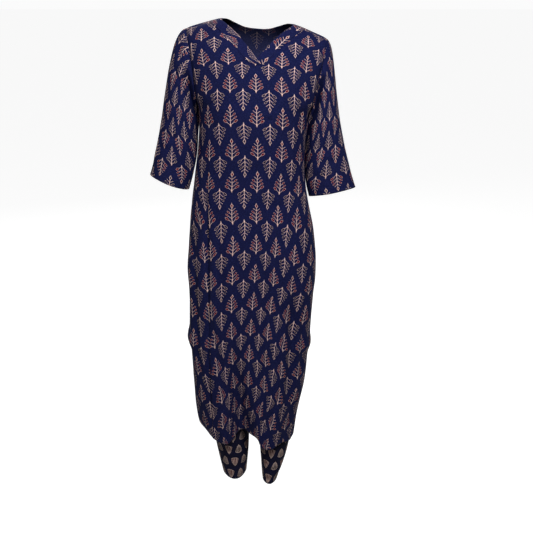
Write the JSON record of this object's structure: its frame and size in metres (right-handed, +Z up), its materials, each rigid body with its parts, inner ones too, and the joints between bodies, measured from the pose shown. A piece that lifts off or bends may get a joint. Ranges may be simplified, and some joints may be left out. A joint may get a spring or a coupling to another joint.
{
  "type": "kurti and pants set",
  "caption": "Calf-length navy cotton kurti with a crossed V neckline, elbow sleeves, side slits and an all-over leaf print, worn over matching narrow pants.",
  "frame": {"origin": "midway between the two neck points of the shoulder seams, where the wearer's shoulders hold the kurti", "axes": "+Z up, +X towards the wearer's left, the front of the garment towards -Y"},
  "size_m": [0.566, 0.2512, 1.3981],
  "materials": {
    "kurti_cotton": "matt printed cotton",
    "pants_cotton": "matt printed cotton"
  },
  "bodies": {
    "root": {"kurti_front": "kurti_cotton", "kurti_back": "kurti_cotton", "neckband_right": "kurti_cotton", "neckband_left": "kurti_cotton", "sleeve_right": "kurti_cotton", "sleeve_left": "kurti_cotton", "pants_right_front": "pants_cotton", "pants_right_back": "pants_cotton", "pants_left_front": "pants_cotton", "pants_left_back": "pants_cotton", "pants_waistband": "pants_cotton"}
  },
  "joints": []
}
